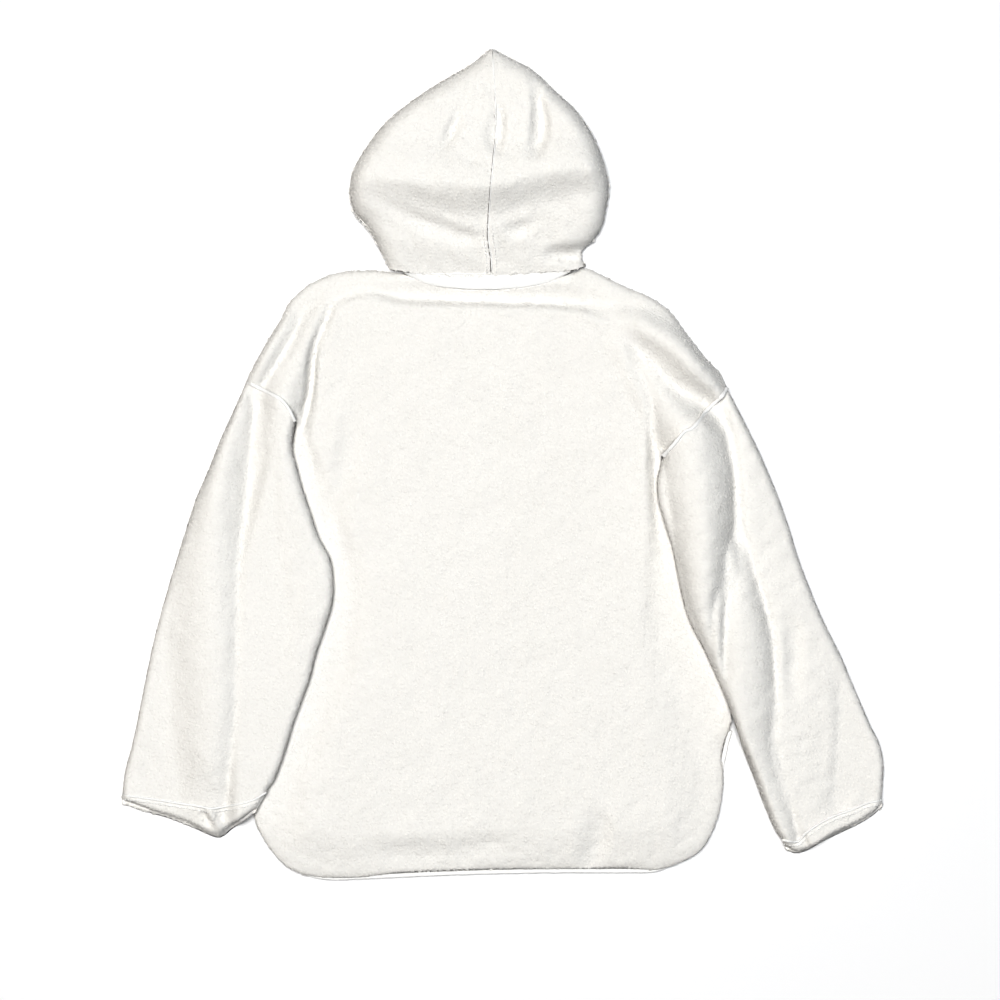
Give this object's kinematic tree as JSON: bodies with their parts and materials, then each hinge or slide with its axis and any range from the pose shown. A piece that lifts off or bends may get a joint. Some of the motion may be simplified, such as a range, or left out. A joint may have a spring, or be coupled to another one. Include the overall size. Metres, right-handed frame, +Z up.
{
  "type": "hooded pullover",
  "caption": "Sherpa fleece hooded pullover lying flat on its front, back up, with dropped sleeves laid on the body, a pointed hood and a bound shirt-tail hem.",
  "frame": {"origin": "centre of the pullover's outline, at the surface that it lies on", "axes": "+Z up from the surface, +Y from the hem towards the hood's tip, +X to the right as seen from above, which is the wearer's right"},
  "size_m": [0.8361, 0.9119, 0.0484],
  "materials": {
    "fleece": "curly ivory pile",
    "hidden_fleece": "curly ivory pile",
    "tape": "smooth white jersey"
  },
  "bodies": {
    "root": {"front_panel": "fleece", "back_panel": "fleece", "sleeve_left": "fleece", "sleeve_right": "fleece", "cuff_left": "fleece", "cuff_right": "fleece", "hood_left": "fleece", "hood_right": "fleece", "hood_fold": "hidden_fleece", "neck_band": "tape", "hem_binding": "tape"}
  },
  "joints": []
}
